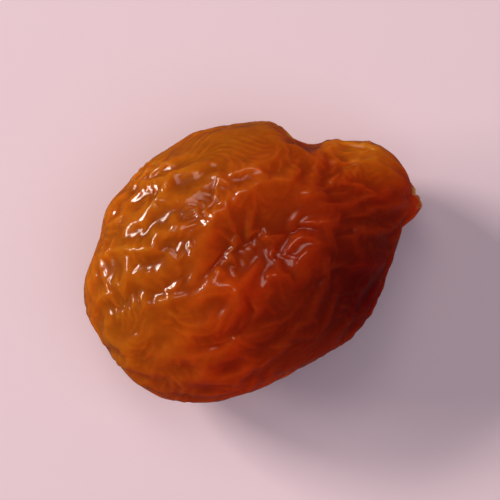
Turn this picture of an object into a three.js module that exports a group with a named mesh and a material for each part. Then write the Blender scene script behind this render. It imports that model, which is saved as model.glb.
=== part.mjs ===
// A raisin: a seedless grape, dried until its skin is too large for it.
//
// It is one solid. A plump egg-shaped body narrows to a blunt stem end, and the skin lies in folds.
// The shape is made the way it comes about: a smooth berry is drawn from a few rounded forms, then
// its skin is grown a little and left to settle on the flesh, which buckles it into ridges.
//
// Millimetres, +Z up. +X runs along the berry towards the stem end. The origin is on the surface
// that the raisin rests on, under the middle of its box.

import * as THREE from 'three';
import { mergeVertices } from 'three/addons/utils/BufferGeometryUtils.js';
import { ImprovedNoise } from 'three/addons/math/ImprovedNoise.js';

// Driving dimensions
const LENGTH = 16.1;
const WIDTH = 12.0;
const HEIGHT = 8.6;
const REST_CUT = 0.4; // how far the berry has slumped flat on what it lies on

// The skin's mesh: each of the icosahedron's 20 faces becomes (SPLITS + 1) squared triangles
const SPLITS = 19;

// The rounded forms that blend into the berry: where each is centred, its half sizes, and how square
// it is, where 2 is an ellipsoid
const BODY = { at: [-0.55, -0.1, 0.1], half: [7.1, 5.75, 4.5], power: 2 };
const BELLY = { at: [-2.7, -0.9, -0.1], half: [4.4, 4.3, 3.9], power: 2 };
const SHOULDER = { at: [3.0, -0.95, -0.2], half: [3.6, 3.15, 3.3], power: 2 };
const STEM_END = { at: [4.7, -0.2, -0.3], half: [3.3, 2.4, 2.9], power: 2.2 };
const STEM_SCAR = { at: [7.3, -1.75, -0.3], half: [0.5, 0.42, 0.5], power: 2 };
const FORMS = [BODY, BELLY, SHOULDER, STEM_END, STEM_SCAR];
const FORM_BLEND = 0.8;

// Hollows pressed into the smooth berry: on top, in the neck, by the blunt end and in one side
const HOLLOWS = [
  { at: [1.9, 0.2, 6.9], half: [4.6, 2.8, 2.8], power: 2 },
  { at: [5.1, 4.35, 0.9], half: [0.95, 1.8, 3.0], power: 2 },
  { at: [-8.9, 6.9, 0.3], half: [4.3, 4.3, 7.0], power: 2 },
  { at: [-1.5, -8.4, 0.4], half: [5.0, 3.0, 2.0], power: 2 },
];
const HOLLOW_BLEND = 1.0;

// Where single folds run over the upper side: the points that each one's ridge passes, as x and y
const RIDGES = [
  [[3.7, 4.6], [4.1, 3.5], [4.5, 2.4]],
  [[0.3, 3.5], [1.5, 3.4], [2.7, 2.7]],
  [[1.1, 2.4], [2.6, 2.3], [3.5, 2.1]],
  [[-1.0, 2.7], [0.1, 3.1], [0.7, 3.7]],
  [[-1.0, 1.8], [0.3, 2.2]],
  [[-3.4, 5.2], [-2.0, 5.4], [-0.5, 5.5]],
  [[-2.9, 4.0], [-2.1, 4.6], [-1.2, 4.9]],
  [[-6.1, 3.3], [-4.9, 2.9], [-3.8, 2.1]],
  [[-7.2, 1.6], [-6.5, 1.3], [-5.6, 1.0]],
  [[-5.3, 0.7], [-4.4, 0.3], [-3.9, -0.2]],
  [[3.7, 1.8], [4.8, 2.2], [5.7, 2.5]],
  [[4.6, 1.7], [6.1, 1.1], [7.5, 0.4]],
  [[-0.5, 0.0], [1.2, 0.2], [2.6, -0.1], [3.8, -0.5]],
  [[4.2, -0.4], [5.6, -0.6], [7.0, -1.2]],
  [[-3.5, -2.8], [-2.3, -3.0], [-1.0, -2.6]],
  [[-1.5, -4.0], [-0.5, -4.6]],
];
const RIDGE_HALF_WIDTH = 0.4;
const RIDGE_START = 0.16; // how far the skin stands out along a ridge before it buckles
const ROUGH_START = 0.03; // how far it stands out or in at random everywhere

// How the skin buckles: first in broad folds and then in finer ones. Each set measures spacing from
// ridge to ridge, and comes of skin that grew by these shares along and around the berry.
const FOLDS = [
  { spacing: 4.5, growthAlong: 0.012, growthAround: 0.035, rounds: 2000 },
  { spacing: 1.6, growthAlong: 0.016, growthAround: 0.03, rounds: 3000 },
];
const PATCH = 2.6; // how far apart patches are where the skin grew more or less
const PATCHINESS = 2; // by how much those patches differ
const LEAST_GROWTH = 0.15; // the share of its growth that every thread of skin has
const YIELD = 0.012; // the share by which skin is squeezed before it buckles
const FIRMNESS = 6; // how many times as hard the skin is to press in as to lift
const CLING = 0.012; // how firmly the flesh keeps the skin from sliding over it
const GLIDE = 0.9; // how much of its speed a point keeps from round to round
const SEED = 7;

const noise = new ImprovedNoise();

// Random numbers from 0 to 1, always the same ones for a seed
function random(seed) {
  let state = seed;
  return () => {
    state = (state + 0x6d2b79f5) | 0;
    let t = Math.imul(state ^ (state >>> 15), 1 | state);
    t = (t + Math.imul(t ^ (t >>> 7), 61 | t)) ^ t;
    return ((t ^ (t >>> 14)) >>> 0) / 4294967296;
  };
}

// How far a point is outside a form, measured along the line from the form's centre
function outside(p, form) {
  const q = [p.x - form.at[0], p.y - form.at[1], p.z - form.at[2]];
  const sum = q.reduce((s, v, i) => s + Math.abs(v / form.half[i]) ** form.power, 0);
  const share = sum ** (1 / form.power);
  return Math.hypot(...q) * (1 - 1 / Math.max(share, 1e-6));
}

function blendedLess(a, b, width) {
  const h = Math.max(width - Math.abs(a - b), 0) / width;
  return Math.min(a, b) - (h * h * width) / 4;
}

// Negative inside the smooth berry, positive outside
function berry(p) {
  let d = FORMS.map((form) => outside(p, form)).reduce((a, b) => blendedLess(a, b, FORM_BLEND));
  for (const hollow of HOLLOWS) d = -blendedLess(-d, outside(p, hollow), HOLLOW_BLEND);
  return d;
}

// The point of the berry's surface on the line from its middle through p
function onBerry(p) {
  const way = p.clone().normalize();
  let near = 0;
  let far = LENGTH;
  for (let i = 0; i < 40; i++) {
    const middle = (near + far) / 2;
    if (berry(way.clone().multiplyScalar(middle)) < 0) near = middle;
    else far = middle;
  }
  return way.multiplyScalar(near);
}

function smoothSkin() {
  let skin = new THREE.IcosahedronGeometry(1, SPLITS);
  skin.deleteAttribute('normal');
  skin.deleteAttribute('uv');
  skin = mergeVertices(skin, 1e-4);
  const at = skin.getAttribute('position');
  const p = new THREE.Vector3();
  for (let i = 0; i < at.count; i++) {
    p.fromBufferAttribute(at, i).multiply(new THREE.Vector3(...BODY.half));
    at.setXYZ(i, ...onBerry(p));
  }
  return skin;
}

// How near a point is to the ridges: 1 on one, 0 away from all of them
function nearRidge(x, y) {
  let nearest = Infinity;
  for (const ridge of RIDGES) {
    for (let i = 1; i < ridge.length; i++) {
      const [ax, ay] = ridge[i - 1];
      const [bx, by] = ridge[i];
      const along = ((x - ax) * (bx - ax) + (y - ay) * (by - ay)) / ((bx - ax) ** 2 + (by - ay) ** 2);
      const share = Math.min(Math.max(along, 0), 1);
      nearest = Math.min(nearest, Math.hypot(x - ax - share * (bx - ax), y - ay - share * (by - ay)));
    }
  }
  return Math.exp(-((nearest / RIDGE_HALF_WIDTH) ** 2));
}

// The mesh as a net: its threads, each a pair of vertices, and the vertices beside each vertex
function net(skin) {
  const corners = skin.index.array;
  const count = skin.getAttribute('position').count;
  const near = Array.from({ length: count }, () => []);
  const threads = [];
  for (let f = 0; f < corners.length; f += 3) {
    for (let k = 0; k < 3; k++) {
      const a = corners[f + k];
      const b = corners[f + ((k + 1) % 3)];
      near[a].push(b);
      if (a < b) threads.push(a, b);
    }
  }
  const first = new Uint32Array(count + 1);
  for (let i = 0; i < count; i++) first[i + 1] = first[i] + near[i].length;
  return { count, threads: Uint32Array.from(threads), first, beside: Uint32Array.from(near.flat()) };
}

// How far each vertex's value is from the mean of those beside it
function unevenness(value, { count, first, beside }, out) {
  for (let i = 0; i < count; i++) {
    let x = 0;
    let y = 0;
    let z = 0;
    for (let n = first[i]; n < first[i + 1]; n++) {
      const j = 3 * beside[n];
      x += value[j];
      y += value[j + 1];
      z += value[j + 2];
    }
    const share = 1 / (first[i + 1] - first[i]);
    out[3 * i] = value[3 * i] - x * share;
    out[3 * i + 1] = value[3 * i + 1] - y * share;
    out[3 * i + 2] = value[3 * i + 2] - z * share;
  }
}

// The length of every thread at rest, and the share that it grows by
function growth(rest, threads, fold) {
  const long = new Float64Array(threads.length / 2);
  const grow = new Float64Array(long.length);
  const p = new THREE.Vector3();
  const way = new THREE.Vector3();
  for (let e = 0; e < long.length; e++) {
    p.fromArray(rest, 3 * threads[2 * e]);
    way.fromArray(rest, 3 * threads[2 * e + 1]).sub(p);
    long[e] = way.length();
    const around = new THREE.Vector3(0, -p.z, p.y).normalize().dot(way.normalize()) ** 2;
    const patch = noise.noise(p.x / PATCH + 9, p.y / PATCH, p.z / PATCH);
    const share = Math.max(LEAST_GROWTH, 1 + PATCHINESS * patch);
    grow[e] = (fold.growthAlong * (1 - around) + fold.growthAround * around) * share;
  }
  return { long, grow };
}

// Grows the skin's threads and lets them settle, held by the flesh and by their own stiffness. How
// strongly those two hold decides how far apart the ridges come.
function buckle(skin, fold, draw) {
  const rest = Float64Array.from(skin.getAttribute('position').array);
  skin.computeVertexNormals();
  const normal = skin.getAttribute('normal').array;
  const mesh = net(skin);
  const { count, threads } = mesh;
  const { long, grow } = growth(rest, threads, fold);
  const thread = long.reduce((sum, v) => sum + v) / long.length;
  const wave = ((2 * Math.PI * thread) / fold.spacing) ** 2 / 4;
  const flesh = 0.375 * YIELD * wave;
  const stiffness = (0.375 * YIELD) / wave;

  const p = rest.slice();
  for (let i = 0; i < 3 * count; i += 3) {
    let start = ROUGH_START * (2 * draw() - 1);
    if (normal[i + 2] > 0.2) start += RIDGE_START * nearRidge(rest[i], rest[i + 1]);
    for (let k = 0; k < 3; k++) p[i + k] += start * normal[i + k];
  }

  const moved = new Float64Array(3 * count);
  const bend = new Float64Array(3 * count);
  const bendOfBend = new Float64Array(3 * count);
  const speed = new Float64Array(3 * count);
  for (let round = 0; round < fold.rounds; round++) {
    for (let i = 0; i < 3 * count; i++) moved[i] = p[i] - rest[i];
    unevenness(moved, mesh, bend);
    unevenness(bend, mesh, bendOfBend);
    for (let i = 0; i < 3 * count; i += 3) {
      const lift = moved[i] * normal[i] + moved[i + 1] * normal[i + 1] + moved[i + 2] * normal[i + 2];
      const press = lift * flesh * (lift < 0 ? FIRMNESS : 1);
      for (let k = 0; k < 3; k++) {
        const aside = moved[i + k] - lift * normal[i + k];
        const held = stiffness * bendOfBend[i + k] + press * normal[i + k] + CLING * aside;
        speed[i + k] = GLIDE * speed[i + k] - held;
      }
    }
    const grown = Math.min(1, (1.4 * round) / fold.rounds);
    for (let e = 0; e < long.length; e++) {
      const a = 3 * threads[2 * e];
      const b = 3 * threads[2 * e + 1];
      const x = p[b] - p[a];
      const y = p[b + 1] - p[a + 1];
      const z = p[b + 2] - p[a + 2];
      const pull = 0.125 * (1 - (long[e] * (1 + grow[e] * grown)) / Math.sqrt(x * x + y * y + z * z));
      speed[a] += pull * x;
      speed[a + 1] += pull * y;
      speed[a + 2] += pull * z;
      speed[b] -= pull * x;
      speed[b + 1] -= pull * y;
      speed[b + 2] -= pull * z;
    }
    for (let i = 0; i < 3 * count; i++) p[i] += speed[i];
  }
  skin.getAttribute('position').array.set(p);
}

// Flattens the underside, brings the raisin to its named size and stands it on the origin
function settle(skin) {
  const at = skin.getAttribute('position');
  skin.computeBoundingBox();
  const floor = skin.boundingBox.min.z + REST_CUT;
  for (let i = 0; i < at.count; i++) at.setZ(i, Math.max(at.getZ(i), floor));
  skin.computeBoundingBox();
  const size = skin.boundingBox.getSize(new THREE.Vector3());
  const middle = skin.boundingBox.getCenter(new THREE.Vector3());
  skin.translate(-middle.x, -middle.y, -floor);
  skin.scale(LENGTH / size.x, WIDTH / size.y, HEIGHT / size.z);
}

function raisin() {
  const skin = smoothSkin();
  const draw = random(SEED);
  for (const fold of FOLDS) buckle(skin, fold, draw);
  settle(skin);
  skin.computeVertexNormals();
  const finish = new THREE.MeshStandardMaterial({ color: 0xa85a14, roughness: 0.3, metalness: 0 });
  const mesh = new THREE.Mesh(skin, finish);
  mesh.name = 'raisin';
  return mesh;
}

const part = new THREE.Group();
part.add(raisin());

export default part;
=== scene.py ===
"""A single amber raisin on a plain pale floor, seen from straight above in soft light.

The script takes the raisin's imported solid, in metres and in its own frame: +X runs along the fruit to its
stem end, and it rests on the plane z = 0. It adds the finest creases, the skin and the light.
"""

import math

import bmesh
import bpy
import numpy as np
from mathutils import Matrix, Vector, noise


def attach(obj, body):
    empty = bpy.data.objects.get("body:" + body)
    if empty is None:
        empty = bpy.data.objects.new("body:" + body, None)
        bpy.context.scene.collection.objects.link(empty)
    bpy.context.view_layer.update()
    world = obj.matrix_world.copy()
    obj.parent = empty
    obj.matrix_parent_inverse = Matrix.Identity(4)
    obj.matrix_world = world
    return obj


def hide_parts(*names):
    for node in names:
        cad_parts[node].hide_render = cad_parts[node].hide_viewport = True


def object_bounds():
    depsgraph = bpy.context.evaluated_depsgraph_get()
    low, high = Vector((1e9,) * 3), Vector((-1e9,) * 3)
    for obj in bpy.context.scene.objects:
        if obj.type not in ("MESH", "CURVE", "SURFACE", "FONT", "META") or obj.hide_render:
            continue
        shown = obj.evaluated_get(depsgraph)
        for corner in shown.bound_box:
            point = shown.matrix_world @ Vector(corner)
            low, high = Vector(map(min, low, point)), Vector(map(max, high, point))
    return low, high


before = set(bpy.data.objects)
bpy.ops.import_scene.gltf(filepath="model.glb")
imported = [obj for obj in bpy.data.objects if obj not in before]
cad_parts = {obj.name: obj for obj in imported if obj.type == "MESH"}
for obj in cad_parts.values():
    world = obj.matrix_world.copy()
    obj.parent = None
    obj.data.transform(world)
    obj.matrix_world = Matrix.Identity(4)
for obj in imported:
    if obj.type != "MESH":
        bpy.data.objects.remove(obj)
solid_low, solid_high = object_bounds()


# The raisin
# A grape that has dried until its thin skin is too large for the soft, sugary flesh, so that it stands in
# ridges. Between the broad folds of the solid lie finer creases, which pucker towards the scar of the stalk.

MM = 0.001

# Each set of creases measures spacing from ridge to ridge, and comes of skin that grew by these shares
# across the creases and along them, in patches that differ.
CREASES = (
    {"spacing": 0.95 * MM, "across": 0.034, "along": 0.01, "patch": 2.4 * MM, "rounds": 800},
    {"spacing": 0.45 * MM, "across": 0.042, "along": 0.014, "patch": 1.6 * MM, "rounds": 450},
)
GROWTH_SWING = 1.6  # how far the growth of the patches differs, as a share of the mean
LEAST_GROWTH = 0.15
CREASE_TURN = 0.9 * math.pi  # how far the creases turn away from running along the fruit
PATCH_SEED = 7
TURN_SEED = 3

# Where the finer ridges run over the upper side: the points that each one passes, as x and y in millimetres
RIDGES = (
    ((-5.9, 3.1), (-5.0, 3.0), (-4.4, 2.4), (-3.9, 2.3)),
    ((-7.2, 1.6), (-6.7, 1.4)),
    ((-5.4, 0.7), (-5.2, 0.3)),
    ((-4.8, 0.6), (-4.4, 0.3)),
    ((-4.8, 0.1), (-4.1, -0.1)),
    ((-2.9, 4.0), (-2.3, 4.5), (-1.2, 4.8)),
    ((-3.2, 5.4), (-2.5, 5.3), (-1.3, 5.3)),
    ((-1.0, 2.6), (-0.3, 3.0), (0.3, 3.5)),
    ((0.5, 3.7), (0.5, 3.0)),
    ((-0.7, 2.4), (0.0, 2.5)),
    ((-1.1, 1.9), (0.0, 2.1)),
    ((1.3, 3.5), (1.9, 3.2), (2.5, 2.6)),
    ((0.9, 2.4), (1.9, 2.4), (2.5, 2.1), (3.1, 1.9), (3.8, 2.0)),
    ((3.4, 4.2), (3.8, 3.5), (4.3, 2.4)),
    ((4.4, 1.8), (5.1, 2.3), (5.9, 2.4)),
    ((6.4, 2.0), (7.0, 1.4), (7.3, 0.8)),
    ((5.4, 1.5), (6.3, 1.0), (7.1, 0.7)),
    ((3.7, 0.9), (5.1, 0.3), (6.1, 0.1)),
    ((4.1, -0.1), (5.3, -0.4), (6.7, -0.8)),
    ((3.5, -0.8), (5.1, -1.1), (6.9, -1.6)),
    ((3.9, -1.5), (5.1, -1.8), (6.1, -2.4)),
    ((-1.8, 0.1), (-0.7, 0.5), (0.6, 0.6)),
    ((1.1, 0.0), (2.1, -0.1), (2.7, -0.3)),
    ((-1.7, -1.2), (-1.3, -1.8), (-1.1, -2.4)),
    ((0.4, -1.5), (1.0, -1.8), (0.8, -2.2)),
    ((1.9, -3.0), (2.5, -2.8), (3.0, -2.3)),
    ((-3.5, -2.9), (-2.9, -3.1), (-2.2, -3.0)),
    ((-1.5, -4.3), (-1.0, -4.7), (-0.3, -4.7)),
    ((4.0, -3.1), (4.7, -3.4), (5.2, -3.7), (4.8, -4.3)),
    ((5.2, -3.7), (5.9, -3.0)),
)
RIDGE_HALF_WIDTH = 0.22 * MM
RIDGE_SWAY = 0.35 * MM  # how far they bend from side to side
RIDGE_BEND_LENGTH = 0.8 * MM
RIDGE_SEEDS = (21, 34)
RIDGE_GROWTH = 1.1  # how many times as much more the skin grew across them
RIDGE_START = 0.06 * MM  # how far the skin stands out there before it buckles
UPWARD = 0.2  # the least z of the way out of the skin that counts as the upper side

STEM_SCAR = np.array((7.9, -1.75, 3.9)) * MM  # where the stalk came off
SCAR_RADIUS = 0.5 * MM
SCAR_RIM = 0.1 * MM  # how high its torn rim stands
SCAR_DEPTH = 0.2 * MM
SCAR_TEAR = 0.4  # how ragged the rim is, as a share of the radius
SCAR_TEAR_LENGTH = 0.3 * MM
SCAR_SEED = 11
PUCKER_REACH = 2.9 * MM  # how far out the creases run straight away from the scar
PUCKER_GROWTH = 0.9  # how many times as much more the skin grew round it

SKIN_YIELD = 0.012  # the share by which the skin is squeezed before it buckles
FLESH_FIRMNESS = 5  # how many times as hard the skin is to press in as to lift
FLESH_CLING = 0.012  # how firmly the flesh keeps the skin from sliding
PULL = 0.125  # the share of a thread's stretch that one round takes up at each end
GLIDE = 0.9  # how much of its speed a point keeps from round to round
GROWING_PACE = 1.5  # at 1.5 the skin is fully grown after two thirds of the rounds
ROUGHNESS = 0.02  # how uneven the skin starts, as a share of the spacing
ROUGHNESS_SEED = 5
TINY = 1e-9  # keeps a division by nothing from failing
TINY_LENGTH = 1e-12


def places(mesh):
    """The mesh's vertices as an array of points."""
    at = np.empty(3 * len(mesh.vertices))
    mesh.vertices.foreach_get("co", at)
    return at.reshape(-1, 3)


def directions(mesh):
    """The way out of the mesh at each vertex."""
    out = np.empty(3 * len(mesh.vertices))
    mesh.vertices.foreach_get("normal", out)
    return out.reshape(-1, 3)


def neighbours(mesh):
    """Columns of the vertices beside each vertex, filled up with the vertex itself, and how many are real."""
    ends = np.empty(2 * len(mesh.edges), dtype=np.int32)
    mesh.edges.foreach_get("vertices", ends)
    a, b = ends.reshape(-1, 2).T
    here, there = np.concatenate((a, b)), np.concatenate((b, a))
    order = np.argsort(here, kind="stable")
    here, there = here[order], there[order]
    count = np.bincount(here)
    column = np.arange(len(here)) - (np.cumsum(count) - count)[here]
    beside = np.tile(np.arange(len(count)), (count.max(), 1))
    beside[column, here] = there
    return beside, count[:, None]


def unevenness(value, beside, count):
    """How far each vertex's value is from the mean of those beside it."""
    total = np.zeros_like(value)
    for column in beside:
        total += value.take(column, axis=0)
    return (len(beside) * value - total) / count


def patches(points, size, seed):
    """A cloudy value from about -1 to 1 at each point."""
    return np.array([noise.noise(Vector(p) / size + Vector((seed, 0, 0))) for p in points])


def near_ridge(points, out):
    """How near each point of the upper side is to a ridge, from 0 to 1, and which way that ridge runs."""
    near, way = np.zeros(len(points)), np.zeros_like(points)
    sway = np.stack([patches(points, RIDGE_BEND_LENGTH, seed) for seed in RIDGE_SEEDS], axis=1)
    points = points[:, :2] + RIDGE_SWAY * sway
    for ridge in RIDGES:
        for start, end in zip(ridge, ridge[1:]):
            run = (np.array(end) - start) * MM
            start = np.array(start) * MM
            share = np.clip((points - start) @ run / (run @ run), 0, 1)[:, None]
            gap = np.linalg.norm(points - start - share * run, axis=1)
            close = np.exp(-((gap / RIDGE_HALF_WIDTH) ** 2)) * (out[:, 2] > UPWARD)
            way[close > near] = (*run / np.linalg.norm(run), 0)
            near = np.maximum(near, close)
    return near, way


def crease(mesh, spacing, across, along, patch, rounds):
    """Grows the skin a little and lets it settle on the flesh, which buckles it into creases."""
    rest, out = places(mesh), directions(mesh)
    beside, count = neighbours(mesh)

    # How much the skin grew at each point, and the way across the creases there
    plenty = np.clip(1 + GROWTH_SWING * patches(rest, patch, PATCH_SEED), LEAST_GROWTH, None)
    around = np.cross((1, 0, 0), rest - rest.mean(axis=0))
    around /= np.linalg.norm(around, axis=1)[:, None] + TINY
    turn = (CREASE_TURN * patches(rest, 1.5 * patch, TURN_SEED))[:, None]
    grain = np.cos(turn) * around + np.sin(turn) * np.cross(out, around)
    near, way = near_ridge(rest, out)
    plenty += RIDGE_GROWTH * near
    grain += near[:, None] * (np.cross(out, way) - grain)
    pucker = np.exp(-((np.linalg.norm(rest - STEM_SCAR, axis=1) / PUCKER_REACH) ** 2))
    plenty += PUCKER_GROWTH * pucker
    hoop = np.cross(rest - STEM_SCAR, out)
    hoop /= np.linalg.norm(hoop, axis=1)[:, None] + TINY
    hoop *= np.where(np.einsum("ij,ij->i", hoop, grain) < 0, -1, 1)[:, None]
    grain += pucker[:, None] * (hoop - grain)
    grain /= np.linalg.norm(grain, axis=1)[:, None] + TINY

    # The mesh's edges are the threads of the skin: how long each one is, and how much it is to grow
    long, want = [], []
    for column in beside:
        thread = rest[column] - rest
        length = np.linalg.norm(thread, axis=1)
        lean = (np.einsum("ij,ij->i", thread, grain) / np.maximum(length, TINY_LENGTH)) ** 2
        long.append(length)
        want.append(plenty * (across * lean + along * (1 - lean)))

    # The firmness of the flesh and the stiffness of the skin that make it buckle at the asked spacing
    wave = (2 * math.pi * (np.sum(long) / count.sum()) / spacing) ** 2 / 4
    flesh = 3 * PULL * SKIN_YIELD * wave
    stiffness = 3 * PULL * SKIN_YIELD / wave
    rough = np.random.default_rng(ROUGHNESS_SEED).uniform(-1, 1, len(rest))
    at = rest + (ROUGHNESS * spacing * rough + RIDGE_START * near)[:, None] * out
    speed = np.zeros_like(rest)
    for number in range(rounds):
        grown = min(1, GROWING_PACE * number / rounds)
        moved = at - rest
        lift = np.einsum("ij,ij->i", moved, out)[:, None]
        bend = unevenness(unevenness(moved, beside, count), beside, count)
        press = flesh * np.where(lift < 0, FLESH_FIRMNESS, 1) * lift
        speed = GLIDE * speed - stiffness * bend - press * out - FLESH_CLING * (moved - lift * out)
        for column, length, grow in zip(beside, long, want):
            thread = at.take(column, axis=0) - at
            now = np.sqrt(np.einsum("ij,ij->i", thread, thread)) + TINY_LENGTH
            speed += (PULL * (1 - length * (1 + grow * grown) / now))[:, None] * thread
        at = at + speed
    at[:, 2] = np.maximum(at[:, 2], 0)
    mesh.vertices.foreach_set("co", at.ravel())
    mesh.update()


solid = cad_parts["raisin"]
fruit = bmesh.new()
fruit.from_mesh(solid.data)
bmesh.ops.remove_doubles(fruit, verts=fruit.verts, dist=0.001 * MM)
skin = bpy.data.meshes.new("wrinkled_skin")
for creases in CREASES:
    bmesh.ops.subdivide_edges(fruit, edges=fruit.edges, cuts=1, smooth=0.6, use_grid_fill=True)
    fruit.to_mesh(skin)
    crease(skin, **creases)
    fruit.clear()
    fruit.from_mesh(skin)
fruit.free()
for face in skin.polygons:
    face.use_smooth = True

# The stalk left a small torn crater
at, out = places(skin), directions(skin)
tear = SCAR_TEAR * patches(at, SCAR_TEAR_LENGTH, SCAR_SEED)
apart = np.linalg.norm(at - STEM_SCAR, axis=1) / SCAR_RADIUS + tear
bulge = SCAR_RIM * np.exp(-(((apart - 1) / 0.25) ** 2)) - SCAR_DEPTH * np.exp(-((apart / 0.7) ** 2))
at += bulge[:, None] * out
scar = skin.attributes.new("scar", "FLOAT", "POINT")
scar.data.foreach_set("value", np.clip((1.3 - apart) / 0.5, 0, 1))

# The ridges stand no higher than those of the solid
reach = np.minimum(1, np.array(solid_high) / np.abs(at).max(axis=0))
skin.vertices.foreach_set("co", (at * reach).ravel())
skin.update()

# How high the skin stands over its own mean: 0 in the depth of a crease, 1 on top of it. The mean is taken
# from close by for the fine crests and from further away for the ridges.
beside, count = neighbours(skin)
at, out = places(skin), directions(skin)
for name, rounds, full_height in (("crest", 6, 0.03 * MM), ("ridge", 60, 0.12 * MM)):
    level = at
    for _ in range(rounds):
        level = level - unevenness(level, beside, count)
    height = np.einsum("ij,ij->i", at - level, out)
    shade = skin.attributes.new(name, "FLOAT", "POINT")
    shade.data.foreach_set("value", np.clip(0.5 + height / full_height, 0, 1))

raisin = bpy.data.objects.new("wrinkled_raisin", skin)
bpy.context.collection.objects.link(raisin)

# The skin lets light into the flesh, which glows amber where it is thin and red brown where it is deep. The
# colours below also paint part of that glow and of the shade into the skin itself.
AMBER = (0.30, 0.086, 0.003, 1)
GARNET = (0.44, 0.034, 0.0015, 1)
RUSSET = (0.12, 0.001, 0.0003, 1)
HONEY_GLOW = (0.5, 0.16, 0.005, 1)
PALE_VEIN = (0.52, 0.17, 0.02, 1)
DRY_SCAR = (0.22, 0.085, 0.028, 1)
# Painted shade and glow: the red brown gathers about a heart on the side away from the lamps, and the amber
# leans towards the lamp side (+Y)
SHADE_HEART = (3.5 * MM, -4.3 * MM, 5.6 * MM)
RUSSET_FADE = (2.8 * MM, 8.8 * MM)  # how far from the heart the red brown starts and ends its fade to garnet
AMBER_FADE = (6.6 * MM, 13.6 * MM)  # the same for the garnet and the amber
LAMP_SIDE = (0, 0.5, 0)  # the amber comes nearer by this share of the way towards +Y
# Where the painted glow and sheen of the thin lobe is centred, and the distances over which it fades
GLOWING_LOBE = (7.1 * MM, 1.6 * MM, 5.0 * MM)
HONEY_GLOW_FADE = (1.4 * MM, 3.6 * MM)
LIGHT_DEPTH = 10 * MM
LIGHT_SPREAD = (1.0, 0.45, 0.2)  # how far red, green and blue light get, as shares of that depth
REFRACTION = 1.45

skin_material = bpy.data.materials.new("translucent_skin")
skin_material.use_nodes = True
tree = skin_material.node_tree
shader = tree.nodes["Principled BSDF"]


def add(kind, inputs=(), **settings):
    """A shader node with its settings, and its inputs set or linked by name or number."""
    made = tree.nodes.new(kind)
    for name, value in settings.items():
        setattr(made, name, value)
    for name, value in dict(inputs).items():
        if isinstance(value, bpy.types.NodeSocket):
            tree.links.new(value, made.inputs[name])
        else:
            made.inputs[name].default_value = value
    return made


def between(factor, a, b):
    """A colour that goes from a to b with the factor."""
    mixed = add("ShaderNodeMix", data_type="RGBA")
    for socket, value in zip((mixed.inputs[0], mixed.inputs[6], mixed.inputs[7]), (factor, a, b)):
        if isinstance(value, bpy.types.NodeSocket):
            tree.links.new(value, socket)
        else:
            socket.default_value = value
    return mixed.outputs[2]


def spread(value, low, high, start=0, end=1):
    """A value brought from the range low to high to the range start to end."""
    return add("ShaderNodeMapRange", {0: value, 1: low, 2: high, 3: start, 4: end}).outputs[0]


def times_plus(value, factor, extra):
    """A value times a factor, plus an extra."""
    return add("ShaderNodeMath", {0: value, 1: factor, 2: extra}, operation="MULTIPLY_ADD").outputs[0]


# The patterns, each with its number of repeats in a metre
place = add("ShaderNodeTexCoord").outputs["Object"]
ridges = add("ShaderNodeAttribute", attribute_name="ridge").outputs["Fac"]
crests = add("ShaderNodeAttribute", attribute_name="crest").outputs["Fac"]
scarred = add("ShaderNodeAttribute", attribute_name="scar").outputs["Fac"]
clouds = add("ShaderNodeTexNoise", {"Vector": place, "Scale": 190, "Detail": 4, "Roughness": 0.55}).outputs[0]
specks = add("ShaderNodeTexNoise", {"Vector": place, "Scale": 1500, "Detail": 3, "Roughness": 0.6}).outputs[0]
grain = add("ShaderNodeTexNoise", {"Vector": place, "Scale": 5200, "Detail": 4, "Roughness": 0.6}).outputs[0]

# The veins are a net drawn out along the fruit, with its threads bent
bend = add("ShaderNodeTexNoise", {"Vector": place, "Scale": 350, "Detail": 2}).outputs["Color"]
bent = add("ShaderNodeVectorMath", {0: bend, 1: (1.6 * MM,) * 3, 2: place}, operation="MULTIPLY_ADD")
drawn = add("ShaderNodeMapping", {"Vector": bent.outputs[0], "Scale": (420, 800, 800)}).outputs[0]
veins = add("ShaderNodeTexVoronoi", {"Vector": drawn, "Scale": 1}, feature="DISTANCE_TO_EDGE").outputs[0]

# Red brown about the heart of the side turned away from the lamps, amber away from it and towards the lamp
# side. This is partly the fruit's own uneven colour and partly painted shade and painted glow.
away = add("ShaderNodeVectorMath", {0: place, 1: SHADE_HEART}, operation="DISTANCE").outputs["Value"]
side = add("ShaderNodeVectorMath", {0: place, 1: LAMP_SIDE}, operation="DOT_PRODUCT").outputs["Value"]
cloudy = times_plus(clouds, 4 * MM, away)
toward_lamp_side = add("ShaderNodeMath", {0: cloudy, 1: side}, operation="ADD").outputs[0]
colour = between(spread(cloudy, *RUSSET_FADE), RUSSET, GARNET)
colour = between(spread(toward_lamp_side, *AMBER_FADE), colour, AMBER)

# The lobe beside the scar is the thinnest and palest part: its honey colour is partly its own and partly a
# painted glow of light through the thin flesh, with a painted sheen. Veins and specks show through the skin
lobe = add("ShaderNodeVectorMath", {0: place, 1: GLOWING_LOBE}, operation="DISTANCE").outputs["Value"]
colour = between(spread(times_plus(clouds, 2 * MM, lobe), *HONEY_GLOW_FADE, 0.75, 0), colour, HONEY_GLOW)
colour = between(spread(veins, 0, 0.06, 0.035, 0), colour, PALE_VEIN)
colour = between(spread(specks, 0.35, 0.65, 0, 0.25), colour, RUSSET)

# Painted shade darkens the depth of the creases and a painted sheen brightens the crests, and the scar is a
# dry brown
depth = spread(ridges, 0.1, 0.95, 0.9, 1.08)
crest_sheen = spread(crests, 0.5, 1, 1, 1.1)
shade_and_sheen = add("ShaderNodeMath", {0: depth, 1: crest_sheen}, operation="MULTIPLY").outputs[0]
colour = add("ShaderNodeHueSaturation", {"Color": colour, "Value": shade_and_sheen}).outputs[0]
colour = between(scarred, colour, DRY_SCAR)
tree.links.new(colour, shader.inputs["Base Color"])

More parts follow.
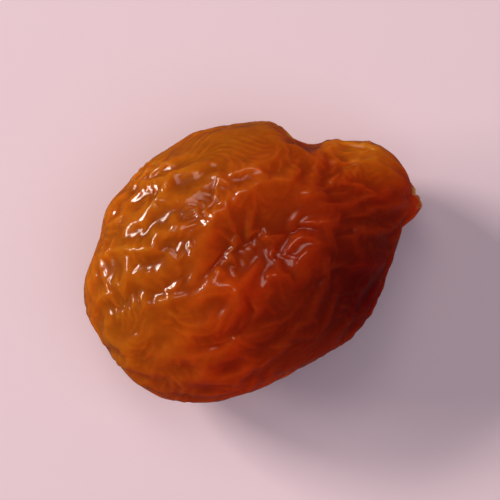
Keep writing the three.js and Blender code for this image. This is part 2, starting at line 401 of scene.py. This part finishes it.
# A moist skin that shines most on the ridges, with fine pores, and a dull scar
shine = times_plus(grain, 0.1, spread(ridges, 0.2, 0.9, 0.14, 0.06))
tree.links.new(times_plus(scarred, 0.5, shine), shader.inputs["Roughness"])
pores = add("ShaderNodeBump", {"Height": specks, "Strength": 0.4, "Distance": 0.03 * MM}).outputs[0]
film = add("ShaderNodeBump", {"Height": grain, "Strength": 0.28, "Distance": 0.004 * MM, "Normal": pores})
tree.links.new(film.outputs[0], shader.inputs["Normal"])
shader.inputs["Subsurface Weight"].default_value = 1.0
shader.inputs["Subsurface Radius"].default_value = LIGHT_SPREAD
shader.inputs["Subsurface Scale"].default_value = LIGHT_DEPTH
shader.inputs["IOR"].default_value = REFRACTION
skin.materials.append(skin_material)

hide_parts("raisin")
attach(raisin, "root")


# The floor
# A plain pale lilac surface, such as a sheet of matt card. It lies a hair below the plane that the raisin
# rests on, and isn't part of the object.

FLOOR_SIDE = 3000 * MM
FLOOR_GAP = 0.02 * MM
PALE_LILAC = (0.86, 0.69, 0.78, 1)

card = bmesh.new()
bmesh.ops.create_grid(card, x_segments=1, y_segments=1, size=FLOOR_SIDE / 2)
bmesh.ops.translate(card, verts=card.verts, vec=(0, 0, -FLOOR_GAP))
card_mesh = bpy.data.meshes.new("pale_floor")
card.to_mesh(card_mesh)
card.free()
floor = bpy.data.objects.new("pale_floor", card_mesh)
bpy.context.collection.objects.link(floor)
floor_material = bpy.data.materials.new("pale_lilac_card")
floor_material.use_nodes = True
floor_shader = floor_material.node_tree.nodes["Principled BSDF"]
floor_shader.inputs["Base Color"].default_value = PALE_LILAC
floor_shader.inputs["Roughness"].default_value = 0.9
floor_shader.inputs["Specular IOR Level"].default_value = 0.2
card_mesh.materials.append(floor_material)
# It lights the skin but isn't mirrored in it, so that the lower rim keeps its deep colour
floor.visible_glossy = False


# The light and the camera
# Two warm soft boxes stand low at the upper left of the picture, like a window, and a small one overhead puts
# a pale sheen on the crests. A broad fill and the pale room lift the shadows. The camera looks straight down,
# and is rolled so that the stem end points up and to the right.

ROLL = math.radians(-30)
CENTRE = (Vector(solid_low) + Vector(solid_high)) / 2
WARM_WHITE = (1.0, 0.88, 0.78)
ROSY_WHITE = (1.0, 0.86, 0.76)
COOL_WHITE = (0.95, 0.93, 1.0)


def lamp(name, picture_angle, height_angle, distance, width, height, power, colour):
    """A soft box aimed at the raisin, from an angle measured round the picture from its right side."""
    data = bpy.data.lights.new(name, "AREA")
    data.shape = "RECTANGLE"
    data.size = width
    data.size_y = height
    data.energy = power
    data.color = colour
    round_angle = math.radians(picture_angle) + ROLL
    up = math.radians(height_angle)
    way = Vector((math.cos(round_angle) * math.cos(up), math.sin(round_angle) * math.cos(up), math.sin(up)))
    placed = bpy.data.objects.new(name, data)
    placed.location = CENTRE + way * distance
    placed.rotation_euler = (-way).to_track_quat("-Z", "Y").to_euler()
    bpy.context.collection.objects.link(placed)
    return placed


lamp("window_light", 151, 31, distance=0.5, width=0.15, height=0.1, power=1.85, colour=WARM_WHITE)
lamp("low_light", 173, 20, distance=0.5, width=0.14, height=0.08, power=0.85, colour=WARM_WHITE)
lamp("overhead_light", 110, 61, distance=0.5, width=0.15, height=0.2, power=0.32, colour=ROSY_WHITE)
fill = lamp("soft_fill", 330, 75, distance=1.0, width=1.0, height=1.0, power=3.4, colour=COOL_WHITE)
# A mirrored fill would lay a grey veil on the skin
fill.visible_glossy = False

world = bpy.data.worlds.new("pale_room")
world.use_nodes = True
world.node_tree.nodes["Background"].inputs["Color"].default_value = (0.90, 0.84, 0.90, 1)
world.node_tree.nodes["Background"].inputs["Strength"].default_value = 0.05
bpy.context.scene.world = world

LENS = 200
PICTURE_WIDTH = 23 * MM
camera_data = bpy.data.cameras.new("camera")
camera_data.lens = LENS
camera_data.clip_start = 0.01
camera = bpy.data.objects.new("camera", camera_data)
camera.location = CENTRE + Vector((0, 0, PICTURE_WIDTH * LENS / camera_data.sensor_width))
camera.rotation_euler = (0, 0, ROLL)
bpy.context.collection.objects.link(camera)
bpy.context.scene.camera = camera
bpy.context.scene.view_settings.view_transform = "Standard"
